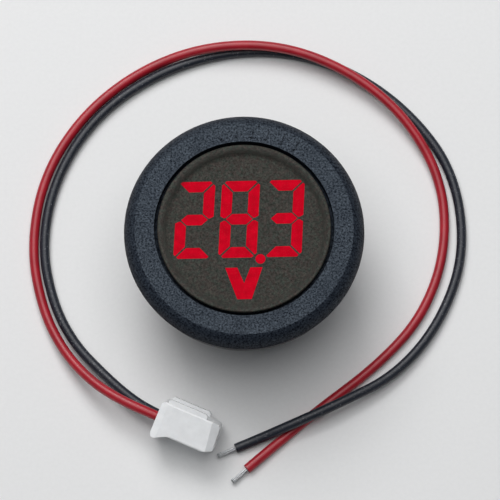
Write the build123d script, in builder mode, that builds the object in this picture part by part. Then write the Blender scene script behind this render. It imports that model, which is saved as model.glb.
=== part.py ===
from build123d import *
from math import acos, cos, radians, sin, tan
import os

os.makedirs("parts", exist_ok=True)

# Round digital panel voltmeter with a plug-in two-wire lead. Millimetres, +Z up.
# Origin: centre of the barrel's rear rim. The meter stands on that rim, display up.

# ---- driving dimensions -------------------------------------------------------------
BEZEL_D = 36.0            # widest diameter of the flange
FACE_Z = 18.6             # front face of the ring and of the window
RIM_Z = 16.4              # height of the widest circle of the flange
FLANGE_Z = 14.8           # rear face of the flange
RING_R = 16.3             # outer edge of the flat ring
NECK_R = 14.3             # plain neck, and crest of the barrel thread
NECK_Z = 11.6             # lower end of the plain neck
ROOT_R = 13.6             # root of the barrel thread
BORE_R = 12.4             # inside of the barrel
PITCH = 1.5               # thread pitch
THREAD_Z = 0.7            # centre line of the first turn
THREAD_TURNS = 6.8
GASKET_T = 1.0
RELIEF_R = 14.0           # relief above the neck, inside the gasket

WINDOW_R = 12.93
RECESS_R = 13.45          # outer wall of the thin dark groove round the window
GROOVE_Z = 16.9           # floor of the groove
WINDOW_T = 0.5
LEDGE_Z = 17.9            # shoulder the window is glued to

BOARD_R = 12.2
BOARD_T = 1.6
BOARD_Z = 11.6            # rear face of the circuit board
BOARD_FRONT = BOARD_Z + BOARD_T
LENS_Z = 14.2             # rear face of the resin in the segment cavities

COVER_Z = 2.2             # outer face of the rear cover
COVER_T = 1.2

NUT_Z = 6.6
NUT_T = 4.0
NUT_R = 16.2              # grip flange, next to the washer
COLLAR_R = 15.6           # plain rear end of the nut
COLLAR_T = 1.6
WASHER_T = 1.0
WASHER_R = 17.0

HEADER_X = -0.45
HEADER_Y = -5.0
HEADER_Z = 4.6            # open end of the shroud
PIN_PITCH = 2.5
TRIM_X = 7.6
TRIM_Y = 2.8

DISPLAY_TURN = 1.2        # the display sits a little off square in the bezel, degrees
DIGIT_PITCH = 6.7
DIGIT_H = 11.9
DIGIT_W = 5.7
SEG_W = 1.65
SEG_GAP = 0.26
CORNER = 0.7              # cut across the outer corners of a digit
SLANT = 4.0               # lean of the digits, degrees
DIGIT_X = -0.7            # centre of the middle digit
DIGIT_Y = 1.54

WIRE_D = 1.5              # 24 AWG with PVC insulation
STRAND_D = 0.76           # strands twisted and dipped in tin
TIP_L = 3.0

PLUG_X = -12.95           # centre of the plug's wire face
PLUG_Y = -25.3
PLUG_Z = 3.92
PLUG_AIM = 23.0           # heading of the plug, degrees below +X
PLUG_DIP = 2.0            # its nose points down a little
PLUG_ROLL = 17.0          # and it lies rolled about its long axis


def polar(radius, angle):
    """Plan position at a radius and an angle in degrees."""
    return (radius * cos(radians(angle)), radius * sin(radians(angle)))


# ---- bezel and barrel housing -------------------------------------------------------
BOSS_ANGLES = (135, 315)
BOSS_C = 10.9
BOSS_R = 1.7
RIB_ANGLES = (45, 225)
SCREW_R = 0.7
MARKS = 6                 # raised bars at the top of the ring
MARK_ANGLE = 104
MARK_SPAN = -54
MARK_L = 1.6
MARK_W = 0.35
MARK_T = 0.25

with BuildPart() as bezel_housing:
    with BuildSketch(Plane.XZ) as profile:
        with BuildLine():
            Polyline(
                (BORE_R, 0), (ROOT_R - 0.3, 0), (ROOT_R, 0.3), (ROOT_R, NECK_Z),
                (NECK_R, NECK_Z), (NECK_R, FLANGE_Z - GASKET_T),
                (RELIEF_R, FLANGE_Z - GASKET_T), (RELIEF_R, FLANGE_Z), (17.55, FLANGE_Z),
            )
            ThreePointArc((17.55, FLANGE_Z), (17.85, 15.6), (BEZEL_D / 2, RIM_Z))
            ThreePointArc((BEZEL_D / 2, RIM_Z), (17.45, 17.75), (RING_R, FACE_Z))
            Polyline(
                (RING_R, FACE_Z), (RECESS_R, FACE_Z), (RECESS_R, GROOVE_Z), (WINDOW_R, GROOVE_Z),
                (WINDOW_R, LEDGE_Z), (BORE_R, LEDGE_Z), (BORE_R, 0),
            )
        make_face()
    revolve(axis=Axis.Z)
    # thread, a helical ridge whose foot is sunk into the barrel
    with BuildLine() as thread_path:
        Helix(pitch=PITCH, height=PITCH * THREAD_TURNS, radius=ROOT_R - 0.15, center=(0, 0, THREAD_Z))
    with BuildSketch(Plane(thread_path.line @ 0, x_dir=(1, 0, 0), z_dir=thread_path.line % 0)):
        with BuildLine():
            Polyline((0, -0.564), (0.85, -0.2), (0.85, 0.2), (0, 0.564), close=True)
        make_face()
    sweep(path=thread_path.line, is_frenet=True)
    # bosses that carry the board at their front end and the cover screws at their rear end
    with BuildSketch(Plane.XY.offset(COVER_Z + COVER_T)):
        with PolarLocations(BOSS_C, 2, start_angle=BOSS_ANGLES[0]):
            Circle(BOSS_R)
        with PolarLocations(12.1, 2, start_angle=RIB_ANGLES[0]):
            Rectangle(1.8, 2.0)
    extrude(amount=BOARD_Z - COVER_Z - COVER_T)
    with BuildSketch(Plane.XY.offset(COVER_Z + COVER_T)):
        with PolarLocations(BOSS_C, 2, start_angle=BOSS_ANGLES[0]):
            Circle(SCREW_R)
    extrude(amount=5.2, mode=Mode.SUBTRACT)
    # plain raised bars on the ring
    with BuildSketch(Plane.XY.offset(FACE_Z - 0.1)):
        with PolarLocations((RECESS_R + RING_R) / 2, MARKS, start_angle=MARK_ANGLE, angular_range=MARK_SPAN):
            Rectangle(MARK_L, MARK_W)
    extrude(amount=0.1 + MARK_T)
bezel_housing.part.label = "bezel_housing"
export_step(bezel_housing.part, "parts/bezel_housing.step")

# ---- window and its adhesive --------------------------------------------------------
with BuildPart() as display_window:
    with BuildSketch(Plane.XY.offset(FACE_Z - WINDOW_T)):
        Circle(WINDOW_R)
    extrude(amount=WINDOW_T)
    chamfer(display_window.faces().sort_by(Axis.Z)[-1].edges(), 0.12)
display_window.part.label = "display_window"
export_step(display_window.part, "parts/display_window.step")

with BuildPart() as window_adhesive:
    with BuildSketch(Plane.XY.offset(LEDGE_Z)):
        Circle(WINDOW_R - 0.05)
        Circle(BORE_R + 0.05, mode=Mode.SUBTRACT)
    extrude(amount=FACE_Z - WINDOW_T - LEDGE_Z)
window_adhesive.part.label = "window_adhesive"
export_step(window_adhesive.part, "parts/window_adhesive.step")

# ---- segment shapes -----------------------------------------------------------------
HALF_H = DIGIT_H / 2
HALF_W = DIGIT_W / 2
LETTERS = "abcdefg"


def segment_outline(letter):
    """Corner points of one bar of a seven-segment digit centred on the origin, unslanted."""
    w = SEG_W
    g = SEG_GAP * 0.7                      # gap at a corner, measured along an axis
    cut = CORNER / 2
    if letter in "ad":
        half = 1 if letter == "a" else -1
        bar = [
            (HALF_W - CORNER, HALF_H), (HALF_W - cut - g / 2, HALF_H - cut + g / 2),
            (HALF_W - w - g, HALF_H - w),
        ]
        mirrored = [(-x, y) for x, y in reversed(bar)]
        return [(x, half * y) for x, y in bar + mirrored]
    if letter == "g":
        tip = HALF_W - 0.85
        flat = HALF_W - w - 0.1
        return [(-tip, 0), (-flat, w / 2), (flat, w / 2), (tip, 0), (flat, -w / 2), (-flat, -w / 2)]
    side = 1 if letter in "bc" else -1
    half = 1 if letter in "bf" else -1
    bar = [
        (HALF_W, HALF_H - CORNER), (HALF_W, 0.5), (HALF_W - 0.5, 0.2), (HALF_W - 0.8, 0.2),
        (HALF_W - w, 0.98), (HALF_W - w, HALF_H - w - g), (HALF_W - cut + g / 2, HALF_H - cut - g / 2),
    ]
    return [(side * x, half * y) for x, y in bar]


def digit_point(digit, point):
    """Slants a digit point and moves it to digit -1, 0 or 1 on the display."""
    x = point[0] + point[1] * tan(radians(SLANT))
    return (x + DIGIT_X + digit * DIGIT_PITCH, point[1] + DIGIT_Y)


LIT = {-1: "abged", 0: "abcdefg", 1: "abgcd"}
POINT_AT = (3.46, -6.2)    # decimal point, from its digit's centre, before the slant
POINT_R = 0.74
V_AT = (-0.17, -8.35)
V_W = 5.55
V_H = 4.85
V_ARM = 1.8
V_FOOT = 2.15


def v_outline():
    """Corner points of the V below the digits."""
    x0, y0 = V_AT
    top = y0 + V_H / 2
    low = y0 - V_H / 2
    return [
        (x0 - V_W / 2, top), (x0 - V_W / 2 + V_ARM, top), (x0, low + 2.45),
        (x0 + V_W / 2 - V_ARM, top), (x0 + V_W / 2, top), (x0 + V_FOOT / 2, low),
        (x0 - V_FOOT / 2, low),
    ]


DISPLAY_PLANE = Plane((0, 0, LENS_Z), x_dir=(*polar(1, DISPLAY_TURN), 0), z_dir=(0, 0, 1))

with BuildSketch(DISPLAY_PLANE) as lit_sketch:
    for digit in (-1, 0, 1):
        for letter in LIT[digit]:
            with BuildLine():
                Polyline([digit_point(digit, p) for p in segment_outline(letter)], close=True)
            make_face()
    with Locations(digit_point(0, POINT_AT)):
        Circle(POINT_R)
    with BuildLine():
        Polyline(v_outline(), close=True)
    make_face()

with BuildSketch(DISPLAY_PLANE) as unlit_sketch:
    for digit in (-1, 0, 1):
        for letter in LETTERS:
            if letter not in LIT[digit]:
                with BuildLine():
                    Polyline([digit_point(digit, p) for p in segment_outline(letter)], close=True)
                make_face()
    for digit in (-1, 1):
        with Locations(digit_point(digit, POINT_AT)):
            Circle(POINT_R)

# ---- display reflector, a dark block with one cavity per segment ---------------------
POST_R = 0.6
POST_C = 11.2
POST_ANGLES = (0, 90, 180)

with BuildPart() as display_reflector:
    with BuildSketch(Plane.XY.offset(BOARD_FRONT)):
        Circle(BORE_R - 0.1)
    extrude(amount=LEDGE_Z - 0.1 - BOARD_FRONT)
    # staking posts that pass through the board and are spread behind it
    with BuildSketch(Plane.XY.offset(BOARD_Z - 0.5)):
        for angle in POST_ANGLES:
            with Locations(polar(POST_C, angle)):
                Circle(POST_R)
    extrude(amount=BOARD_T + 1.0)
    with BuildSketch(Plane.XY.offset(BOARD_Z - 0.5)):
        for angle in POST_ANGLES:
            with Locations(polar(POST_C, angle)):
                Circle(POST_R + 0.3)
    extrude(amount=0.5)
    add(lit_sketch.sketch)
    extrude(amount=LEDGE_Z - LENS_Z + 1, mode=Mode.SUBTRACT)
    add(unlit_sketch.sketch)
    extrude(amount=LEDGE_Z - LENS_Z + 1, mode=Mode.SUBTRACT)
    # chamber behind the resin where the light chips sit
    with BuildSketch(Plane.XY.offset(BOARD_FRONT)):
        with Locations((DIGIT_X, 0)):
            RectangleRounded(19.6, 16.4, 2.0)
        with Locations((V_AT[0], V_AT[1] - 1.0)):
            Rectangle(5.6, 3.4)
        Circle(BORE_R - 0.7, mode=Mode.INTERSECT)
    extrude(amount=LENS_Z - BOARD_FRONT, mode=Mode.SUBTRACT)
display_reflector.part.label = "display_reflector"
export_step(display_reflector.part, "parts/display_reflector.step")

with BuildPart() as segments_lit:
    add(lit_sketch.sketch)
    extrude(amount=LEDGE_Z - 0.1 - LENS_Z)
segments_lit.part.label = "segments_lit"
export_step(segments_lit.part, "parts/segments_lit.step")

with BuildPart() as segments_unlit:
    add(unlit_sketch.sketch)
    extrude(amount=LEDGE_Z - 0.1 - LENS_Z)
segments_unlit.part.label = "segments_unlit"
export_step(segments_unlit.part, "parts/segments_unlit.step")

# ---- light chips on the front of the board -------------------------------------------
SEG_CENTRES = {
    "a": (0, HALF_H - 0.8), "b": (HALF_W - 0.8, HALF_H / 2), "c": (HALF_W - 0.8, -HALF_H / 2),
    "d": (0, -HALF_H + 0.8), "e": (-HALF_W + 0.8, -HALF_H / 2), "f": (-HALF_W + 0.8, HALF_H / 2),
    "g": (0, 0),
}

with BuildPart() as led_chips:
    with BuildSketch(Plane.XY.offset(BOARD_FRONT)):
        for digit in (-1, 0, 1):
            for letter in LETTERS:
                with Locations(digit_point(digit, SEG_CENTRES[letter])):
                    Rectangle(1.0, 0.6)
        for digit in (-1, 0):
            with Locations(digit_point(digit, POINT_AT)):
                Rectangle(1.0, 0.6)
        with Locations((V_AT[0], V_AT[1] + 0.4)):
            Rectangle(1.0, 0.6)
    extrude(amount=0.5)
led_chips.part.label = "led_chips"
export_step(led_chips.part, "parts/led_chips.step")

# ---- circuit board ------------------------------------------------------------------
with BuildPart() as circuit_board:
    with BuildSketch(Plane.XY.offset(BOARD_Z)):
        Circle(BOARD_R)
        for angle in POST_ANGLES:
            with Locations(polar(POST_C, angle)):
                Circle(POST_R + 0.05, mode=Mode.SUBTRACT)
        for side in (-1, 1):
            with Locations((HEADER_X + side * PIN_PITCH / 2, HEADER_Y)):
                Circle(0.5, mode=Mode.SUBTRACT)
    extrude(amount=BOARD_T)
circuit_board.part.label = "circuit_board"
export_step(circuit_board.part, "parts/circuit_board.step")

# ---- microcontroller ----------------------------------------------------------------
MCU_X = 0.0
MCU_Y = 3.6
MCU_L = 8.65
MCU_W = 3.9
LEAD_PITCH = 1.27

with BuildPart() as controller_body:
    with BuildSketch(Plane.XY.offset(BOARD_Z - 1.6)):
        with Locations((MCU_X, MCU_Y)):
            Rectangle(MCU_L, MCU_W)
    extrude(amount=1.45)
    chamfer(controller_body.faces().sort_by(Axis.Z)[0].edges(), 0.25)
controller_body.part.label = "controller_body"
export_step(controller_body.part, "parts/controller_body.step")

with BuildPart() as controller_leads:
    for side in (-1, 1):
        for step in range(-3, 4):
            with BuildSketch(Plane.XY.offset(BOARD_Z - 0.2)):
                with Locations((MCU_X + step * LEAD_PITCH, MCU_Y + side * (MCU_W / 2 + 0.75))):
                    Rectangle(0.42, 0.7)
            extrude(amount=0.2)
            with BuildSketch(Plane.XY.offset(BOARD_Z - 1.0)):
                with Locations((MCU_X + step * LEAD_PITCH, MCU_Y + side * (MCU_W / 2 + 0.25))):
                    Rectangle(0.42, 0.5)
            extrude(amount=0.2)
            with BuildSketch(Plane.XY.offset(BOARD_Z - 1.0)):
                with Locations((MCU_X + step * LEAD_PITCH, MCU_Y + side * (MCU_W / 2 + 0.4))):
                    Rectangle(0.42, 0.2)
            extrude(amount=1.0)
controller_leads.part.label = "controller_leads"
export_step(controller_leads.part, "parts/controller_leads.step")

# ---- supply parts on the rear of the board -------------------------------------------
REG_X = -7.7
REG_Y = -3.2

with BuildPart() as regulator_body:
    with BuildSketch(Plane.XY.offset(BOARD_Z - 1.7)):
        with Locations((REG_X, REG_Y)):
            Rectangle(2.5, 4.5)
    extrude(amount=1.5)
    chamfer(regulator_body.faces().sort_by(Axis.Z)[0].edges(), 0.2)
regulator_body.part.label = "regulator_body"
export_step(regulator_body.part, "parts/regulator_body.step")

with BuildPart() as regulator_leads:
    with BuildSketch(Plane.XY.offset(BOARD_Z - 0.2)):
        for step in (-1, 0, 1):
            with Locations((REG_X + 1.6, REG_Y + step * 1.5)):
                Rectangle(1.0, 0.45)
        with Locations((REG_X - 0.35, REG_Y)):
            Rectangle(2.6, 1.8)
    extrude(amount=0.2)
regulator_leads.part.label = "regulator_leads"
export_step(regulator_leads.part, "parts/regulator_leads.step")

with BuildPart() as input_diode:
    with BuildSketch(Plane.XY.offset(BOARD_Z - 2.2)):
        with Locations((7.6, -2.9)):
            Rectangle(2.6, 4.0)
    extrude(amount=2.0)
    with BuildSketch(Plane.XY.offset(BOARD_Z - 1.1)):
        with Locations((7.6, -2.9)):
            Rectangle(1.5, 4.8)
    extrude(amount=1.1)
input_diode.part.label = "input_diode"
export_step(input_diode.part, "parts/input_diode.step")

CAN_X = -7.6
CAN_Y = 2.6

with BuildPart() as capacitor_base:
    with BuildSketch(Plane.XY.offset(BOARD_Z - 0.8)):
        with Locations((CAN_X, CAN_Y)):
            Rectangle(4.2, 4.2)
    extrude(amount=0.8)
    chamfer(capacitor_base.edges().filter_by(Axis.Z).sort_by(Axis.X)[-2:], 0.7)
capacitor_base.part.label = "capacitor_base"
export_step(capacitor_base.part, "parts/capacitor_base.step")

with BuildPart() as capacitor_can:
    with BuildSketch(Plane.XY.offset(BOARD_Z - 5.6)):
        with Locations((CAN_X, CAN_Y)):
            Circle(2.0)
    extrude(amount=4.8)
    fillet(capacitor_can.faces().sort_by(Axis.Z)[0].edges(), 0.3)
capacitor_can.part.label = "capacitor_can"
export_step(capacitor_can.part, "parts/capacitor_can.step")

CHIP_RESISTORS = [(-4.5, 8.6), (-1.5, 8.6), (1.5, 8.6), (4.5, 8.6), (-2.9, 10.6), (2.9, 10.6)]
CHIP_CAPACITORS = [(-4.9, -9.3), (-1.7, -9.9), (1.7, -9.9), (4.3, -9.3)]

with BuildPart() as chip_resistors:
    with BuildSketch(Plane.XY.offset(BOARD_Z - 0.5)):
        with Locations(*CHIP_RESISTORS):
            Rectangle(2.0, 1.25)
    extrude(amount=0.5)
chip_resistors.part.label = "chip_resistors"
export_step(chip_resistors.part, "parts/chip_resistors.step")

with BuildPart() as chip_capacitors:
    with BuildSketch(Plane.XY.offset(BOARD_Z - 1.0)):
        with Locations(*CHIP_CAPACITORS):
            Rectangle(2.0, 1.25)
    extrude(amount=1.0)
chip_capacitors.part.label = "chip_capacitors"
export_step(chip_capacitors.part, "parts/chip_capacitors.step")

# ---- calibration trimmer -------------------------------------------------------------
ROTOR_R = 1.45
ROTOR_FIT = 0.06

with BuildPart() as trimmer_body:
    with BuildSketch(Plane.XY.offset(BOARD_Z - 1.8)):
        with Locations((TRIM_X, TRIM_Y)):
            Rectangle(4.2, 4.2)
    extrude(amount=1.8)
    with BuildSketch(Plane.XY.offset(BOARD_Z - 1.8)):
        with Locations((TRIM_X, TRIM_Y)):
            Circle(ROTOR_R + ROTOR_FIT)
    extrude(amount=1.1, mode=Mode.SUBTRACT)
trimmer_body.part.label = "trimmer_body"
export_step(trimmer_body.part, "parts/trimmer_body.step")

with BuildPart() as trimmer_rotor:
    with BuildSketch(Plane.XY.offset(BOARD_Z - 2.3)):
        with Locations((TRIM_X, TRIM_Y)):
            Circle(ROTOR_R)
    extrude(amount=1.55)
    # screwdriver slot with an arrow foot on one side
    with BuildSketch(Plane.XY.offset(BOARD_Z - 2.3)):
        with Locations((TRIM_X, TRIM_Y)):
            Rectangle(2.2, 0.5)
            Rectangle(0.5, 1.3)
    extrude(amount=0.6, mode=Mode.SUBTRACT)
trimmer_rotor.part.label = "trimmer_rotor"
export_step(trimmer_rotor.part, "parts/trimmer_rotor.step")

# ---- header -------------------------------------------------------------------------
SHROUD_X = 7.7
SHROUD_Y = 6.1
SHROUD_WALL = 0.6

with BuildPart() as header_shroud:
    with BuildSketch(Plane.XY.offset(HEADER_Z)):
        with Locations((HEADER_X, HEADER_Y)):
            Rectangle(SHROUD_X, SHROUD_Y)
    extrude(amount=BOARD_Z - HEADER_Z)
    with BuildSketch(Plane.XY.offset(HEADER_Z)):
        with Locations((HEADER_X, HEADER_Y)):
            Rectangle(SHROUD_X - 2 * SHROUD_WALL, SHROUD_Y - 2 * SHROUD_WALL)
    extrude(amount=5.8, mode=Mode.SUBTRACT)
    # keying slots on one long side
    with BuildSketch(Plane.XY.offset(HEADER_Z)):
        for side in (-1, 1):
            with Locations((HEADER_X + side * 2.2, HEADER_Y + SHROUD_Y / 2)):
                Rectangle(1.0, 2 * SHROUD_WALL + 0.2)
    extrude(amount=5.0, mode=Mode.SUBTRACT)
    # square holes the pins are pressed through
    with BuildSketch(Plane.XY.offset(HEADER_Z)):
        for side in (-1, 1):
            with Locations((HEADER_X + side * PIN_PITCH / 2, HEADER_Y)):
                Rectangle(0.64, 0.64)
    extrude(amount=BOARD_Z - HEADER_Z, mode=Mode.SUBTRACT)
header_shroud.part.label = "header_shroud"
export_step(header_shroud.part, "parts/header_shroud.step")

with BuildPart() as header_pins:
    for side in (-1, 1):
        with BuildSketch(Plane.XY.offset(HEADER_Z + 1.6)):
            with Locations((HEADER_X + side * PIN_PITCH / 2, HEADER_Y)):
                Rectangle(0.64, 0.64)
        extrude(amount=BOARD_FRONT - HEADER_Z - 1.6)
header_pins.part.label = "header_pins"
export_step(header_pins.part, "parts/header_pins.step")

with BuildPart() as solder_joints:
    for side in (-1, 1):
        with BuildSketch(Plane.XY.offset(BOARD_FRONT)):
            with Locations((HEADER_X + side * PIN_PITCH / 2, HEADER_Y)):
                Circle(0.75)
        extrude(amount=0.35, taper=35)
solder_joints.part.label = "solder_joints"
export_step(solder_joints.part, "parts/solder_joints.step")

# ---- rear cover and its screws --------------------------------------------------------
with BuildPart() as rear_cover:
    with BuildSketch(Plane.XY.offset(COVER_Z)):
        Circle(BORE_R - 0.1)
        with Locations((HEADER_X, HEADER_Y)):
            Rectangle(SHROUD_X + 0.6, SHROUD_Y + 0.6, mode=Mode.SUBTRACT)
        with Locations((TRIM_X, TRIM_Y)):
            Circle(1.6, mode=Mode.SUBTRACT)
        with PolarLocations(BOSS_C, 2, start_angle=BOSS_ANGLES[0]):
            Circle(SCREW_R + 0.15, mode=Mode.SUBTRACT)
    extrude(amount=COVER_T)
rear_cover.part.label = "rear_cover"
export_step(rear_cover.part, "parts/rear_cover.step")

with BuildPart() as cover_screws:
    with BuildSketch(Plane.XY.offset(COVER_Z - 0.9)):
        with PolarLocations(BOSS_C, 2, start_angle=BOSS_ANGLES[0]):
            Circle(1.3)
    extrude(amount=0.9)
    with BuildSketch(Plane.XY.offset(COVER_Z)):
        with PolarLocations(BOSS_C, 2, start_angle=BOSS_ANGLES[0]):
            Circle(SCREW_R)
    extrude(amount=5.6)
    with BuildSketch(Plane.XY.offset(COVER_Z - 0.9)):
        with PolarLocations(BOSS_C, 2, start_angle=BOSS_ANGLES[0]):
            Rectangle(1.5, 0.35)
            Rectangle(0.35, 1.5)
    extrude(amount=0.5, mode=Mode.SUBTRACT)
cover_screws.part.label = "cover_screws"
export_step(cover_screws.part, "parts/cover_screws.step")

# ---- gasket, slip washer and nut -------------------------------------------------------
with BuildPart() as flange_gasket:
    with BuildSketch(Plane.XY.offset(FLANGE_Z - GASKET_T)):
        Circle(17.2)
        Circle(NECK_R + 0.05, mode=Mode.SUBTRACT)
    extrude(amount=GASKET_T)
flange_gasket.part.label = "flange_gasket"
export_step(flange_gasket.part, "parts/flange_gasket.step")

with BuildPart() as slip_washer:
    with BuildSketch(Plane.XY.offset(NUT_Z + NUT_T)):
        Circle(WASHER_R)
        Circle(NECK_R + 0.3, mode=Mode.SUBTRACT)
    extrude(amount=WASHER_T)
slip_washer.part.label = "slip_washer"
export_step(slip_washer.part, "parts/slip_washer.step")

FIT = 0.15                # clearance all round the thread
GRIPS = 24

with BuildPart() as mounting_nut:
    with BuildSketch(Plane.XY.offset(NUT_Z)):
        Circle(COLLAR_R)
    extrude(amount=COLLAR_T)
    with BuildSketch(Plane.XY.offset(NUT_Z + COLLAR_T)):
        Circle(NUT_R)
    extrude(amount=NUT_T - COLLAR_T)
    with BuildSketch(Plane.XY.offset(NUT_Z)):
        Circle(NECK_R + FIT)
    extrude(amount=NUT_T, mode=Mode.SUBTRACT)
    # finger grips, scooped out of the flange
    with BuildSketch(Plane.XY.offset(NUT_Z + COLLAR_T)):
        with PolarLocations(NUT_R + 0.5, GRIPS):
            Circle(1.0)
    extrude(amount=NUT_T - COLLAR_T - 0.6, mode=Mode.SUBTRACT)
    # inner thread, half a pitch away from the barrel's ridge
    with BuildLine() as nut_path:
        Helix(pitch=PITCH, height=PITCH * 1.6, radius=ROOT_R + FIT, center=(0, 0, THREAD_Z + 4.5 * PITCH))
    with BuildSketch(Plane(nut_path.line @ 0, x_dir=(1, 0, 0), z_dir=nut_path.line % 0)):
        with BuildLine():
            Polyline((0, -0.165), (0.9, -0.552), (0.9, 0.552), (0, 0.165), close=True)
        make_face()
    sweep(path=nut_path.line, is_frenet=True)
mounting_nut.part.label = "mounting_nut"
export_step(mounting_nut.part, "parts/mounting_nut.step")

# ---- plug ----------------------------------------------------------------------------
AIM = radians(PLUG_AIM)
DIP = radians(PLUG_DIP)
ROLL = radians(PLUG_ROLL)
ALONG = (cos(AIM) * cos(DIP), -sin(AIM) * cos(DIP), -sin(DIP))         # wire face to nose
ACROSS = (                                                             # contact row
    cos(AIM) * sin(DIP) * cos(ROLL) - sin(AIM) * sin(ROLL),
    -sin(AIM) * sin(DIP) * cos(ROLL) - cos(AIM) * sin(ROLL),
    cos(DIP) * cos(ROLL),
)
DOWN = tuple(Vector(*ALONG).cross(Vector(*ACROSS)))                     # keyed side to underside
ROW_DOWN = 0.25           # the contact row sits a little below the plug's mid plane


def on_plug(along, across, down=ROW_DOWN):
    """Point in the plug: distance from the wire face, along the contact row, and down."""
    return tuple(
        start + along * a + across * r + down * d
        for start, a, r, d in zip((PLUG_X, PLUG_Y, PLUG_Z), ALONG, ACROSS, DOWN)
    )


def plug_plane(along):
    """Plane across the plug: local x along the contact row, local y to its underside."""
    return Plane(on_plug(along, 0), x_dir=ACROSS, z_dir=ALONG)


HALF_ROW = 3.1            # half the body, along the contact row
HALF_T = 2.4              # half the body, through its thickness
RIB = 0.7                 # height of the keying ribs
BEVEL = 0.9               # depth of the bevels on both sides of the nose
BEVEL_RUN = 1.3           # and their length along the plug
FOLD = 0.22               # shallow bevels at the wire end
CAVITY = 2.0
LIP = 0.85                # lip of the underside at the wire face
# side outline of the plug, from the keyed side of the wire face: distance along, distance down
PLUG_SIDE = [
    (0, 0.4 - HALF_T), (0.4, -HALF_T), (8.0, -HALF_T), (9.2, 0.2 - HALF_T), (9.45, 0.5 - HALF_T),
    (9.75, HALF_T - 0.65), (8.2, HALF_T), (2.5, HALF_T), (0.8, HALF_T + LIP), (0.3, HALF_T + LIP),
    (0, HALF_T + 0.3),
]

with BuildPart() as plug_housing:
    # local x along the plug, local y up to its keyed side
    with BuildSketch(Plane(on_plug(0, 0, 0), x_dir=ALONG, z_dir=ACROSS)):
        with BuildLine():
            Polyline([(along, -down) for along, down in PLUG_SIDE], close=True)
        make_face()
    extrude(amount=HALF_ROW, both=True)
    # nose bevels, wider at the keyed side
    for side in (-1, 1):
        fold = Vector(*on_plug(8.85, 0, HALF_T)) - Vector(*on_plug(8.15, 0, -HALF_T))
        with BuildSketch(Plane(on_plug(8.5, side * HALF_ROW, 0), x_dir=ACROSS, z_dir=fold)):
            with BuildLine():
                Polyline((0, 0), (-side * 1.6 * BEVEL, -1.6 * BEVEL_RUN), (side, -1.6 * BEVEL_RUN), close=True)
            make_face()
        extrude(amount=4, both=True, mode=Mode.SUBTRACT)
    # shallow bevels at the wire end
    with BuildSketch(Plane(on_plug(0, 0, 0), x_dir=ACROSS, z_dir=DOWN)):
        for side in (-1, 1):
            with BuildLine():
                Polyline(
                    (side * HALF_ROW, -1.0), (side * (HALF_ROW - FOLD), 0), (side * (HALF_ROW + 0.5), 0),
                    close=True,
                )
            make_face()
    extrude(amount=4, both=True, mode=Mode.SUBTRACT)
    fillet(plug_housing.edges().filter_by(Axis((0, 0, 0), ALONG)), 0.25)
    # keying ribs on the side that faces the header's slots
    for side in (-1, 1):
        with BuildSketch(Plane(on_plug(0, side * 2.5, 0), x_dir=ALONG, z_dir=ACROSS)):
            with BuildLine():
                Polyline(
                    (0.9, HALF_T - 0.2), (0.9, HALF_T + 0.4), (1.2, HALF_T + RIB), (6.9, HALF_T + RIB),
                    (7.2, HALF_T + 0.4), (7.2, HALF_T - 0.2), close=True,
                )
            make_face()
        extrude(amount=0.48, both=True)
    # contact cavities, open at the wire face, smaller pin holes at the nose
    with BuildSketch(plug_plane(0)):
        with Locations((PIN_PITCH / 2, 0), (-PIN_PITCH / 2, 0)):
            Rectangle(CAVITY, CAVITY)
    extrude(amount=8.7, mode=Mode.SUBTRACT)
    with BuildSketch(plug_plane(8.7)):
        with Locations((PIN_PITCH / 2, 0), (-PIN_PITCH / 2, 0)):
            Rectangle(1.0, 1.0)
    extrude(amount=1.5, mode=Mode.SUBTRACT)
plug_housing.part.label = "plug_housing"
export_step(plug_housing.part, "parts/plug_housing.step")

# ---- contacts --------------------------------------------------------------------------
CONTACT = 1.8
SHEET = 0.25              # metal of the contacts


def add_contact(side):
    """Square tube round a pin, solid neck and crimp round the wire, on one side of the row."""
    row = side * PIN_PITCH / 2
    with BuildSketch(plug_plane(3.6)) as tube:
        with Locations((row, 0)):
            Rectangle(CONTACT, CONTACT)
            Rectangle(CONTACT - 2 * SHEET, CONTACT - 2 * SHEET, mode=Mode.SUBTRACT)
    extrude(tube.sketch, amount=4.9)
    with BuildSketch(plug_plane(1.0)) as crimp:
        with Locations((row, 0)):
            Rectangle(CONTACT, CONTACT)
            Circle(WIRE_D / 2, mode=Mode.SUBTRACT)
    extrude(crimp.sketch, amount=1.4)
    with BuildSketch(plug_plane(2.4)) as neck:
        with Locations((row, 0)):
            Rectangle(CONTACT - 0.3, CONTACT - 0.3)
    extrude(neck.sketch, amount=1.2)


with BuildPart() as contact_red:
    add_contact(1)
contact_red.part.label = "contact_red"
export_step(contact_red.part, "parts/contact_red.step")

with BuildPart() as contact_black:
    add_contact(-1)
contact_black.part.label = "contact_black"
export_step(contact_black.part, "parts/contact_black.step")

# ---- wires ---------------------------------------------------------------------------
LOW = WIRE_D / 2          # centre height of a wire lying on the surface

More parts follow.
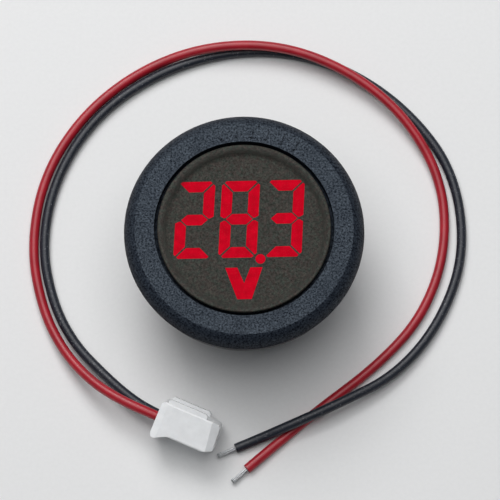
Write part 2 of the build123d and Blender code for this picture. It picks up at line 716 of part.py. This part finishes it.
RED_ROUTE = [
    on_plug(2.4, PIN_PITCH / 2), on_plug(-1.5, PIN_PITCH / 2),
    (-19.1, -23.1, 4.6), (-23.6, -19.9, 3.2), (-28.0, -14.8, 1.6), (-31.4, -7.8, LOW),
    (-33.25, 2.0, LOW), (-31.45, 13.5, LOW), (-25.3, 23.7, LOW), (-16.2, 31.1, LOW),
    (-5.6, 34.5, 2.3), (6.0, 34.4, 2.7), (16.6, 30.1, 2.7), (25.25, 22.85, 2.3),
    (31.0, 12.8, LOW), (31.4, 1.2, LOW), (27.65, -9.2, LOW), (20.6, -17.0, LOW),
    (11.4, -24.0, LOW), (4.6, -29.6, LOW), (0.4, -33.2, LOW),
]
BLACK_ROUTE = [
    on_plug(2.4, -PIN_PITCH / 2), on_plug(-1.5, -PIN_PITCH / 2),
    (-18.1, -22.0, 2.6), (-22.0, -18.3, 1.9), (-26.2, -13.8, 1.2), (-29.6, -7.4, LOW),
    (-31.6, 2.0, LOW), (-29.8, 12.7, LOW), (-24.1, 22.6, LOW), (-15.4, 29.5, LOW),
    (-4.9, 33.6, LOW), (6.3, 34.2, LOW), (17.1, 30.65, LOW), (26.3, 23.6, LOW),
    (32.9, 14.0, LOW), (34.4, 1.2, LOW), (30.5, -10.0, LOW), (23.45, -18.65, 1.4),
    (14.3, -23.5, 2.8), (6.6, -26.9, 2.5), (1.6, -28.8, LOW), (-1.3, -30.0, LOW),
]


def bend_radii(route):
    """Bend radius at each inner point, 0.45 of the shorter run over the tangent of half the turn."""
    radii = []
    for before, here, after in zip(route, route[1:], route[2:]):
        back = Vector(*here) - Vector(*before)
        ahead = Vector(*after) - Vector(*here)
        turn = acos(max(-1, min(1, back.dot(ahead) / back.length / ahead.length)))
        radii.append(0.45 * min(back.length, ahead.length) / tan(turn / 2))
    return radii


RED_RADII = bend_radii(RED_ROUTE)
BLACK_RADII = bend_radii(BLACK_ROUTE)
print("red bend radii", [round(r, 1) for r in RED_RADII])
print("black bend radii", [round(r, 1) for r in BLACK_RADII])


def add_wire(route, radii):
    """Round insulation swept along a route with rounded corners."""
    with BuildLine() as path:
        FilletPolyline(*route, radius=radii)
    with BuildSketch(Plane(route[0], z_dir=Vector(*route[1]) - Vector(*route[0]))) as section:
        Circle(WIRE_D / 2)
    tube = sweep(section.sketch, path=path.line)
    length = path.wire().length
    print("length", round(length, 1), "volume", round(tube.volume, 2),
          "section x length", round(section.sketch.area * length, 2))


with BuildPart() as wire_red:
    add_wire(RED_ROUTE, RED_RADII)
wire_red.part.label = "wire_red"
export_step(wire_red.part, "parts/wire_red.step")

with BuildPart() as wire_black:
    add_wire(BLACK_ROUTE, BLACK_RADII)
wire_black.part.label = "wire_black"
export_step(wire_black.part, "parts/wire_black.step")


# ---- tinned tips -----------------------------------------------------------------------
def add_tip(route):
    """Tinned strands on from a route's last point, with a rounded end."""
    with BuildSketch(Plane(route[-1], z_dir=Vector(*route[-1]) - Vector(*route[-2]))) as section:
        Circle(STRAND_D / 2)
    extrude(section.sketch, amount=TIP_L)


with BuildPart() as tip_red:
    add_tip(RED_ROUTE)
    fillet(tip_red.edges().sort_by_distance(RED_ROUTE[-1])[-1], 0.25)
tip_red.part.label = "tip_red"
export_step(tip_red.part, "parts/tip_red.step")

with BuildPart() as tip_black:
    add_tip(BLACK_ROUTE)
    fillet(tip_black.edges().sort_by_distance(BLACK_ROUTE[-1])[-1], 0.25)
tip_black.part.label = "tip_black"
export_step(tip_black.part, "parts/tip_black.step")
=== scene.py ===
"""Round digital panel voltmeter with its plug-in lead, on a pale studio floor."""
from math import cos, pi, radians, sin

import bpy
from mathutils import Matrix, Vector


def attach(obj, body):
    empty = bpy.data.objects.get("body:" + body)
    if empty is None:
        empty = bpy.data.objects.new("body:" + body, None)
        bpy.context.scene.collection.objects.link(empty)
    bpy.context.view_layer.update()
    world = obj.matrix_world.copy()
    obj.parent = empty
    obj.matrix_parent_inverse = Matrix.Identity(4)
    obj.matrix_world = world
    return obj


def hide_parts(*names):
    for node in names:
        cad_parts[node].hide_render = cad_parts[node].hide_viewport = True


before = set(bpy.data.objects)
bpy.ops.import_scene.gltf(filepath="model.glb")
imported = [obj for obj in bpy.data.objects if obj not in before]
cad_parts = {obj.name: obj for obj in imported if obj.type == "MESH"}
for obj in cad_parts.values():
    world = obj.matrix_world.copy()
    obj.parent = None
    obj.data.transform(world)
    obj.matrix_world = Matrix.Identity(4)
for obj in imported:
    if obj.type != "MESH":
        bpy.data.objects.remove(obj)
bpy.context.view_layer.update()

MM = 0.001

# ---- camera, at the photograph's angle --------------------------------------------------
VIEW_ELEVATION = radians(75)
VIEW_DISTANCE = 400 * MM
VIEW_TARGET = Vector((0.87, 1.53, 0.0)) * MM
LENS = 184.6              # millimetres, as is the sensor
SENSOR = 36
NEAREST = 5 * MM          # closest thing that the camera draws


def add_camera():
    """Camera in front of the object, looking down on it along +Y."""
    data = bpy.data.cameras.new("camera")
    data.lens = LENS
    data.sensor_width = SENSOR
    data.clip_start = NEAREST
    camera = bpy.data.objects.new("camera", data)
    back = Vector((0, -cos(VIEW_ELEVATION), sin(VIEW_ELEVATION)))
    camera.location = VIEW_TARGET + back * VIEW_DISTANCE
    camera.rotation_euler = (pi / 2 - VIEW_ELEVATION, 0, 0)
    bpy.context.scene.collection.objects.link(camera)
    bpy.context.scene.camera = camera


# ---- shader helpers --------------------------------------------------------------------
NOISE_LOW = 0.3           # a noise texture stays mostly between these two values
NOISE_HIGH = 0.7


class Look:
    """A node material with a principled shader, and short calls for what the surfaces need."""

    def __init__(self, name, colour, roughness, metallic=0.0, **sockets):
        self.material = bpy.data.materials.new(name)
        self.material.use_nodes = True
        self.tree = self.material.node_tree
        self.shader = self.tree.nodes["Principled BSDF"]
        self.set("Base Color", (*colour, 1))
        self.set("Roughness", roughness)
        self.set("Metallic", metallic)
        for socket, value in sockets.items():
            self.set(socket.replace("_", " "), value)
        self.coords = self.tree.nodes.new("ShaderNodeTexCoord").outputs["Object"]
        self.colour = colour
        self.normal = None

    def set(self, socket, value):
        """Sets one of the shader's own sockets."""
        self.shader.inputs[socket].default_value = value

    def node(self, kind, **values):
        """New node with its inputs or properties set by name."""
        node = self.tree.nodes.new(kind)
        for key, value in values.items():
            if key in node.inputs:
                node.inputs[key].default_value = value
            else:
                setattr(node, key, value)
        return node

    def link(self, source, target):
        """Joins one node's output to another's input."""
        self.tree.links.new(source, target)

    def noise(self, size, detail=2.0, roughness=0.5):
        """Noise whose features are about the given size in millimetres."""
        node = self.node("ShaderNodeTexNoise", Scale=1 / (size * MM), Detail=detail, Roughness=roughness)
        self.link(self.coords, node.inputs["Vector"])
        return node.outputs["Fac"]

    def cells(self, size):
        """Distance to the nearest border between cells of about the given size in millimetres."""
        node = self.node("ShaderNodeTexVoronoi", Scale=1 / (size * MM))
        node.feature = "DISTANCE_TO_EDGE"
        self.link(self.coords, node.inputs["Vector"])
        return node.outputs["Distance"]

    def place(self, axes):
        """Distance from the object's origin along the given axes, in metres."""
        node = self.node("ShaderNodeVectorMath", operation="MULTIPLY")
        self.link(self.coords, node.inputs[0])
        node.inputs[1].default_value = axes
        length = self.node("ShaderNodeVectorMath", operation="LENGTH")
        self.link(node.outputs["Vector"], length.inputs[0])
        return length.outputs["Value"]

    def times(self, first, second):
        """Product of two values."""
        node = self.node("ShaderNodeMath", operation="MULTIPLY")
        self.link(first, node.inputs[0])
        self.link(second, node.inputs[1])
        return node.outputs["Value"]

    def ramp(self, value, stops):
        """Colour ramp with (position, grey or colour) stops."""
        node = self.tree.nodes.new("ShaderNodeValToRGB")
        elements = node.color_ramp.elements
        while len(elements) < len(stops):
            elements.new(0.5)
        for element, (position, shade) in zip(elements, stops):
            element.position = position
            rgb = shade if isinstance(shade, tuple) else (shade, shade, shade)
            element.color = (*rgb, 1)
        self.link(value, node.inputs["Fac"])
        return node.outputs["Color"]

    def span(self, value, low, high, to_low, to_high):
        """Maps a value from one range to another, held inside it."""
        node = self.node("ShaderNodeMapRange")
        numbers = {"From Min": low, "From Max": high, "To Min": to_low, "To Max": to_high}
        for key, number in numbers.items():
            node.inputs[key].default_value = number
        self.link(value, node.inputs["Value"])
        return node.outputs["Result"]

    def tint(self, value, dark, bright):
        """Base colour that varies from dark to bright shades of the material's own colour."""
        low = tuple(c * dark for c in self.colour)
        high = tuple(min(1, c * bright) for c in self.colour)
        shades = [(NOISE_LOW, low), (NOISE_HIGH, high)]
        self.link(self.ramp(value, shades), self.shader.inputs["Base Color"])

    def rough(self, value, low, high):
        """Roughness that varies with a value."""
        self.link(self.span(value, NOISE_LOW, NOISE_HIGH, low, high), self.shader.inputs["Roughness"])

    def bump(self, value, depth, strength):
        """Adds relief of the given depth in millimetres, on top of any relief before it."""
        node = self.node("ShaderNodeBump", Strength=strength, Distance=depth * MM)
        self.link(value, node.inputs["Height"])
        if self.normal:
            self.link(self.normal, node.inputs["Normal"])
        self.normal = node.outputs["Normal"]
        self.link(self.normal, self.shader.inputs["Normal"])


# ---- materials -------------------------------------------------------------------------
OLIVE = (0.040, 0.038, 0.032)
DULL_SHEEN = 0.12         # specular level of the window's film and of what lies behind it
DUST = (0.55, 0.56, 0.6, 1)
WINDOW_ALPHA = 0.03       # of the clear part of the window
BORDER_IN = 11.5 * MM     # the window's printed border thickens from here
BORDER_FULL = 12.6 * MM   # and is opaque from here out
PAINTED_SHADE_BELOW_Z = 16.2 * MM   # painted shade: the flange's sheen is turned down below this height
PAINTED_SHADE_ENDS_Z = 18.3 * MM  # and is whole again above this one
# share of the sheen left at the foot of the flange, in the painted shade
PAINTED_SHADE_LEAST_SHEEN = 0.03


def spark_eroded(name, colour, roughness=0.5):
    """Dark moulded plastic with the fine sparkling grain of a spark-eroded mould; less sheen low down,
    as painted shade.
    """
    look = Look(name, colour, roughness, Specular_Tint=(0.72, 0.86, 1.0, 1))
    grain = look.noise(0.3, detail=4, roughness=0.75)
    patch = look.noise(2.5)
    look.tint(grain, 0.3, 2.0)
    look.rough(patch, roughness - 0.06, roughness + 0.08)
    sparkle = look.span(grain, 0.38, 0.68, 0.04, 0.95)
    # painted shade: the sheen fades out towards the flange's foot, where the lamps reach least
    sheen = look.span(look.place((0, 0, 1)), PAINTED_SHADE_BELOW_Z, PAINTED_SHADE_ENDS_Z, PAINTED_SHADE_LEAST_SHEEN, 1.0)
    look.link(look.times(sparkle, sheen), look.shader.inputs["Specular IOR Level"])
    look.bump(patch, 0.03, 0.4)
    look.bump(grain, 0.06, 0.8)
    return look.material


def moulded(name, colour, roughness=0.45):
    """Plain moulded plastic with slight flow marks and fine scuffs."""
    look = Look(name, colour, roughness)
    flow = look.noise(1.6, detail=3)
    scuff = look.noise(0.12)
    look.tint(flow, 0.85, 1.15)
    look.rough(scuff, roughness - 0.08, roughness + 0.1)
    look.bump(flow, 0.02, 0.4)
    look.bump(scuff, 0.006, 0.4)
    return look.material


def olive_grain(look):
    """Fine olive and brown grain, as colour and as relief."""
    grain = look.noise(0.28, detail=4, roughness=0.75)
    hue = look.noise(0.5)
    stops = [(0.35, (0.046, 0.036, 0.031)), (0.5, OLIVE), (0.65, (0.033, 0.041, 0.033))]
    mix = look.node("ShaderNodeMix", data_type="RGBA", blend_type="MULTIPLY")
    mix.inputs["Factor"].default_value = 1.0
    look.link(look.ramp(hue, stops), mix.inputs["A"])
    look.link(look.ramp(grain, [(0.32, 0.3), (0.5, 0.95), (0.68, 1.9)]), mix.inputs["B"])
    look.link(mix.outputs["Result"], look.shader.inputs["Base Color"])
    look.bump(grain, 0.02, 0.6)


def smoked_window(name):
    """Window: clear over the display, with an olive printed border out to its edge."""
    look = Look(name, OLIVE, 0.5, Specular_IOR_Level=DULL_SHEEN)
    olive_grain(look)
    border = look.span(look.place((1, 1, 0)), BORDER_IN, BORDER_FULL, WINDOW_ALPHA, 1.0)
    look.link(border, look.shader.inputs["Alpha"])
    look.rough(look.noise(1.5), 0.42, 0.6)
    return look.material


def glowing_resin(name):
    """Lit segment: even red light, a little uneven from one part of a bar to the next."""
    look = Look(name, (0.30, 0.0, 0.004), 0.7, Specular_IOR_Level=0.0)
    look.set("Emission Color", (1.0, 0.0, 0.034, 1))
    cloud = look.noise(1.1)
    glow = look.span(cloud, NOISE_LOW, NOISE_HIGH, 0.24, 0.34)
    look.link(glow, look.shader.inputs["Emission Strength"])
    look.tint(cloud, 0.9, 1.1)
    look.bump(look.noise(0.5), 0.01, 0.3)
    return look.material


def dark_ground(name):
    """Dull dark face behind the window."""
    look = Look(name, OLIVE, 0.6, Specular_IOR_Level=DULL_SHEEN)
    olive_grain(look)
    return look.material


def resin(name, colour):
    """Dull cast resin."""
    look = Look(name, colour, 0.35)
    cloud = look.noise(0.8)
    look.tint(cloud, 0.8, 1.2)
    look.bump(cloud, 0.01, 0.3)
    return look.material


def insulation(name, colour, gloss=0.38, specks=0.0):
    """PVC insulation: a soft sheen, slight unevenness, and pale specks of dust where asked for."""
    look = Look(name, colour, gloss, Coat_Weight=0.06, Coat_Roughness=0.3)
    drift = look.noise(3.0)
    skin = look.noise(0.3)
    look.tint(drift, 0.88, 1.12)
    if specks:
        dust = look.ramp(look.noise(0.28, roughness=0.7), [(0.62, 0.0), (0.72, 1.0)])
        mix = look.node("ShaderNodeMix", data_type="RGBA")
        look.link(look.span(dust, 0, 1, 0, specks), mix.inputs["Factor"])
        look.link(look.shader.inputs["Base Color"].links[0].from_socket, mix.inputs["A"])
        mix.inputs["B"].default_value = DUST
        look.link(mix.outputs["Result"], look.shader.inputs["Base Color"])
    look.rough(skin, gloss - 0.06, gloss + 0.08)
    look.bump(skin, 0.012, 0.4)
    return look.material


def nylon(name):
    """Natural white nylon, slightly see-through at its edges."""
    look = Look(name, (0.86, 0.87, 0.88), 0.42, Subsurface_Weight=0.25, Subsurface_Scale=0.8 * MM)
    look.set("Subsurface Radius", (1.0, 0.95, 0.9))
    flow = look.noise(1.2, detail=3)
    skin = look.noise(0.15)
    look.tint(flow, 0.95, 1.03)
    look.rough(skin, 0.36, 0.5)
    look.bump(flow, 0.02, 0.3)
    look.bump(skin, 0.005, 0.4)
    return look.material


def plated(name, colour=(0.72, 0.73, 0.74), roughness=0.28):
    """Bare or plated metal with fine marks and dull patches."""
    look = Look(name, colour, roughness, metallic=1.0)
    patch = look.noise(0.5, detail=3)
    marks = look.noise(0.08)
    look.tint(patch, 0.8, 1.12)
    look.rough(patch, roughness - 0.1, roughness + 0.15)
    look.bump(marks, 0.004, 0.5)
    return look.material


def board_mask(name):
    """Green solder mask with faint copper tracks under it."""
    look = Look(name, (0.012, 0.11, 0.045), 0.3, Coat_Weight=0.4, Coat_Roughness=0.15)
    tracks = look.cells(1.8)
    weave = look.noise(0.15)
    over_copper = (0.02, 0.2, 0.07)
    over_laminate = (0.01, 0.1, 0.04)
    green = look.ramp(tracks, [(0.08, over_copper), (0.14, over_laminate)])
    look.link(green, look.shader.inputs["Base Color"])
    look.bump(look.ramp(tracks, [(0.08, 1.0), (0.14, 0.0)]), 0.03, 0.6)
    look.bump(weave, 0.005, 0.3)
    return look.material


def soft_rubber(name):
    """Black gasket rubber with a dusty skin."""
    look = Look(name, (0.025, 0.025, 0.026), 0.7)
    dust = look.noise(0.4, detail=3)
    look.tint(dust, 0.7, 1.5)
    look.rough(dust, 0.62, 0.82)
    look.bump(look.noise(0.1), 0.008, 0.6)
    return look.material


def pale_floor(name):
    """Plain pale studio paper."""
    look = Look(name, (0.80, 0.80, 0.80), 0.9)
    fibre = look.noise(0.6, detail=3)
    look.tint(fibre, 0.985, 1.01)
    look.bump(fibre, 0.01, 0.15)
    return look.material


BEZEL = spark_eroded("bezel_plastic", (0.0065, 0.009, 0.015))
BLACK_MOULDING = moulded("black_moulding", (0.022, 0.023, 0.026))
WINDOW = smoked_window("window_film")
LIT = glowing_resin("lit_resin")
UNLIT = dark_ground("unlit_resin")
REFLECTOR = dark_ground("reflector_plastic")
TAPE = resin("adhesive_tape", (0.05, 0.05, 0.05))
CHIP = resin("light_chip", (0.75, 0.65, 0.25))
MASK = board_mask("solder_mask")
PACKAGE = moulded("package_black", (0.018, 0.018, 0.02), 0.55)
TIN = plated("tin_plate")
STRAND_TIN = plated("strand_tin", (0.46, 0.47, 0.48), 0.36)
CAN = plated("can_aluminium", (0.78, 0.78, 0.8), 0.3)
ZINC = plated("screw_zinc", (0.55, 0.55, 0.57), 0.32)
BRASS = plated("rotor_brass", (0.72, 0.52, 0.22), 0.3)
CERAMIC = resin("chip_ceramic", (0.36, 0.24, 0.13))
GLAZE = resin("chip_glaze", (0.02, 0.02, 0.024))
BLUE = moulded("trimmer_blue", (0.03, 0.12, 0.42), 0.4)
NYLON = nylon("nylon_white")
GASKET = soft_rubber("gasket_rubber")
RED_PVC = insulation("red_insulation", (0.36, 0.007, 0.018))
BLACK_PVC = insulation("black_insulation", (0.007, 0.010, 0.019), 0.46, specks=0.3)
FLOOR = pale_floor("studio_paper")

NODE_LOOKS = {
    "bezel_housing": BEZEL, "display_window": WINDOW, "window_adhesive": TAPE,
    "display_reflector": REFLECTOR, "segments_lit": LIT, "segments_unlit": UNLIT, "led_chips": CHIP,
    "circuit_board": MASK, "controller_body": PACKAGE, "controller_leads": TIN,
    "regulator_body": PACKAGE, "regulator_leads": TIN, "input_diode": PACKAGE,
    "capacitor_base": PACKAGE, "capacitor_can": CAN, "chip_resistors": GLAZE,
    "chip_capacitors": CERAMIC, "trimmer_body": BLUE, "trimmer_rotor": BRASS,
    "header_shroud": NYLON, "header_pins": TIN, "solder_joints": TIN, "rear_cover": BLACK_MOULDING,
    "cover_screws": ZINC, "flange_gasket": GASKET, "slip_washer": BLACK_MOULDING,
    "mounting_nut": BLACK_MOULDING, "plug_housing": NYLON, "contact_red": TIN, "contact_black": TIN,
}

# radius of the rounded edges, millimetres
ROUNDED = {"plug_housing": 0.16, "header_shroud": 0.1, "rear_cover": 0.12}
ROUND_STEPS = 3           # faces across a rounded edge
SHARP = radians(32)       # an edge that turns by more than this is rounded
WELD_GAP = 0.001 * MM     # corners closer than this become one


def dress_nodes():
    """Gives every CAD node that stays in view its material, and some of them rounded edges."""
    for name, material in NODE_LOOKS.items():
        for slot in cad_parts[name].material_slots:
            slot.material = material
    for name, width in ROUNDED.items():
        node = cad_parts[name]
        weld = node.modifiers.new("weld", "WELD")
        weld.merge_threshold = WELD_GAP
        bevel = node.modifiers.new("bevel", "BEVEL")
        bevel.width = width * MM
        bevel.segments = ROUND_STEPS
        bevel.limit_method = "ANGLE"
        bevel.angle_limit = SHARP


# ---- cords, on part.py's routes ----------------------------------------------------------
WIRE_D = 1.5 * MM
WIRE_STEPS = 16           # steps between two control points
WIRE_BEVEL = 6            # how finely the round section is drawn
# from here to the routes' ends, millimetres
LOW = 0.75                # centre height of a wire lying on the floor
PIN_PITCH = 2.5
PLUG_FACE = (-12.95, -25.3, 3.92)
ROW_DOWN = 0.25           # the contact row sits a little below the plug's mid plane
AIM = radians(23)         # heading of the plug, below +X
DIP = radians(2)          # its nose points down a little
ROLL = radians(17)        # about its own length
ALONG = Vector((cos(AIM) * cos(DIP), -sin(AIM) * cos(DIP), -sin(DIP)))
ACROSS = Vector((
    cos(AIM) * sin(DIP) * cos(ROLL) - sin(AIM) * sin(ROLL),
    -sin(AIM) * sin(DIP) * cos(ROLL) - cos(AIM) * sin(ROLL),
    cos(DIP) * cos(ROLL),
))
DOWN = ALONG.cross(ACROSS)


def on_plug(along, across):
    """Point on the plug's contact row, in millimetres: from its wire face, and along the row."""
    return tuple(Vector(PLUG_FACE) + along * ALONG + across * ACROSS + ROW_DOWN * DOWN)


RED_ROUTE = [
    on_plug(2.4, PIN_PITCH / 2), on_plug(-1.5, PIN_PITCH / 2),
    (-19.1, -23.1, 4.6), (-23.6, -19.9, 3.2), (-28.0, -14.8, 1.6), (-31.4, -7.8, LOW),
    (-33.25, 2.0, LOW), (-31.45, 13.5, LOW), (-25.3, 23.7, LOW), (-16.2, 31.1, LOW),
    (-5.6, 34.5, 2.3), (6.0, 34.4, 2.7), (16.6, 30.1, 2.7), (25.25, 22.85, 2.3),
    (31.0, 12.8, LOW), (31.4, 1.2, LOW), (27.65, -9.2, LOW), (20.6, -17.0, LOW),
    (11.4, -24.0, LOW), (4.6, -29.6, LOW), (0.4, -33.2, LOW),
]
BLACK_ROUTE = [
    on_plug(2.4, -PIN_PITCH / 2), on_plug(-1.5, -PIN_PITCH / 2),
    (-18.1, -22.0, 2.6), (-22.0, -18.3, 1.9), (-26.2, -13.8, 1.2), (-29.6, -7.4, LOW),
    (-31.6, 2.0, LOW), (-29.8, 12.7, LOW), (-24.1, 22.6, LOW), (-15.4, 29.5, LOW),
    (-4.9, 33.6, LOW), (6.3, 34.2, LOW), (17.1, 30.65, LOW), (26.3, 23.6, LOW),
    (32.9, 14.0, LOW), (34.4, 1.2, LOW), (30.5, -10.0, LOW), (23.45, -18.65, 1.4),
    (14.3, -23.5, 2.8), (6.6, -26.9, 2.5), (1.6, -28.8, LOW), (-1.3, -30.0, LOW),
]


def add_wire(name, route, material):
    """Smooth round wire whose control points are the route's points."""
    data = bpy.data.curves.new(name, "CURVE")
    data.dimensions = "3D"
    spline = data.splines.new("NURBS")
    spline.points.add(len(route) - 1)
    for point, place in zip(spline.points, route):
        point.co = (*(Vector(place) * MM), 1)
    spline.order_u = 3
    spline.use_endpoint_u = True
    spline.resolution_u = WIRE_STEPS
    data.bevel_depth = WIRE_D / 2
    data.bevel_resolution = WIRE_BEVEL
    data.use_fill_caps = True
    data.materials.append(material)
    wire = bpy.data.objects.new(name, data)
    bpy.context.scene.collection.objects.link(wire)
    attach(wire, "lead")
    return wire


# ---- tinned ends -----------------------------------------------------------------------
TIP_L = 2.994 * MM        # a hair shorter and thinner than the CAD's solid
TIP_R = 0.378 * MM
OUTER_STRANDS = 6         # laid round one in the middle
STRAND_TURN = 0.16        # of a full turn, over the whole tip
STRAND_R = TIP_R / 3
STRAND_THIN = 0.93        # share of STRAND_R along most of the strand
STRAND_SWELL = 0.1        # more at the end, where tin gathers
SWELL_FROM = 0.7          # share of the length where the swelling starts
DOME = 14                 # the end rounds off over the last 1/14 of the length
DOME_LEAST = 0.12         # share of the radius left at the very end
LAY_R = TIP_R * 0.64      # from the tip's middle to an outer strand's
LAY_IN = 0.92             # share of LAY_R where the strands leave the insulation
STEPS = 28                # rings along a strand
AROUND = 14               # points round a strand


def add_strand(verts, faces, centre, radius):
    """Adds one round strand, given its centre and its radius at each share of its length."""
    first = len(verts)
    for step in range(STEPS + 1):
        share = step / STEPS
        middle, side, up = centre(share)
        for corner in range(AROUND):
            angle = 2 * pi * corner / AROUND
            verts.append(middle + (side * cos(angle) + up * sin(angle)) * radius(share))
    for step in range(STEPS):
        for corner in range(AROUND):
            following = (corner + 1) % AROUND
            low = first + step * AROUND
            high = low + AROUND
            faces.append((low + corner, low + following, high + following, high + corner))
    faces.append(tuple(reversed(range(first, first + AROUND))))
    faces.append(tuple(range(first + STEPS * AROUND, first + (STEPS + 1) * AROUND)))


def strand_radius(share):
    """Radius of a strand: full along its length, rounded at its end, and swollen with tin there."""
    swollen = max(0.0, share - SWELL_FROM) / (1 - SWELL_FROM)
    full = STRAND_R * (STRAND_THIN + STRAND_SWELL * swollen)
    dome = min(1.0, (1 - share) * DOME)
    return full * max(DOME_LEAST, (1 - (1 - dome) ** 2) ** 0.5)


def add_tip(name, route, node):
    """Seven strands, slightly twisted and stuck together with tin."""
    start = Vector(route[-1]) * MM
    along = (Vector(route[-1]) - Vector(route[-2])).normalized()
    side = along.cross(Vector((0, 0, 1))).normalized()
    up = side.cross(along).normalized()
    verts = []
    faces = []
    for strand in range(OUTER_STRANDS + 1):
        offset = 0.0 if strand == OUTER_STRANDS else LAY_R

        def centre(share, strand=strand, offset=offset):
            angle = 2 * pi * (strand / OUTER_STRANDS + STRAND_TURN * share)
            reach = offset * (LAY_IN + (1 - LAY_IN) * share)
            out = side * cos(angle) + up * sin(angle)
            return start + along * (TIP_L * share) + out * reach, side, up

        add_strand(verts, faces, centre, strand_radius)
    mesh = bpy.data.meshes.new(name)
    mesh.from_pydata(verts, [], faces)
    mesh.validate()
    mesh.shade_smooth()
    mesh.materials.append(STRAND_TIN)
    tip = bpy.data.objects.new(name, mesh)
    bpy.context.scene.collection.objects.link(tip)
    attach(tip, "lead")
    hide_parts(node)
    return tip


def add_lead():
    """Both wires with their tinned ends."""
    red = add_wire("red_insulation", RED_ROUTE, RED_PVC)
    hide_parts("wire_red")
    red_tip = add_tip("red_strands", RED_ROUTE, "tip_red")
    black = add_wire("black_insulation", BLACK_ROUTE, BLACK_PVC)
    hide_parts("wire_black")
    black_tip = add_tip("black_strands", BLACK_ROUTE, "tip_black")


# ---- studio ----------------------------------------------------------------------------
FLOOR_HALF = 1.2          # half the floor's side, metres
LIT_POINT = Vector((0, 0, 8)) * MM
SURROUND = (0.9, 0.95, 1.0, 1)
SURROUND_STRENGTH = 0.13
# name: place in metres, side of the square in metres, watts
PANELS = {
    "main": ((-0.05, 0.15, 0.55), 0.6, 2.45),
    "back": ((-0.15, 0.42, 0.52), 0.35, 1.95),
}


def add_panel(name, place, side, power):
    """Soft white square light at a place, aimed at the meter."""
    data = bpy.data.lights.new(name, "AREA")
    data.shape = "SQUARE"
    data.size = side
    data.energy = power
    light = bpy.data.objects.new(name, data)
    light.location = place
    light.rotation_euler = (LIT_POINT - Vector(place)).to_track_quat("-Z", "Y").to_euler()
    bpy.context.scene.collection.objects.link(light)


def add_studio():
    """Pale floor, soft light from above and behind, and a dim even surround."""
    mesh = bpy.data.meshes.new("floor")
    signs = [(-1, -1), (1, -1), (1, 1), (-1, 1)]
    corners = [(FLOOR_HALF * x, FLOOR_HALF * y, 0) for x, y in signs]
    mesh.from_pydata(corners, [], [(0, 1, 2, 3)])
    mesh.materials.append(FLOOR)
    floor = bpy.data.objects.new("floor", mesh)
    bpy.context.scene.collection.objects.link(floor)
    world = bpy.data.worlds.new("studio")
    world.use_nodes = True
    background = world.node_tree.nodes["Background"]
    background.inputs["Color"].default_value = SURROUND
    background.inputs["Strength"].default_value = SURROUND_STRENGTH
    bpy.context.scene.world = world
    for name, (place, side, power) in PANELS.items():
        add_panel(name, place, side, power)
    bpy.context.scene.view_settings.view_transform = "Standard"


add_camera()
dress_nodes()
add_lead()
add_studio()
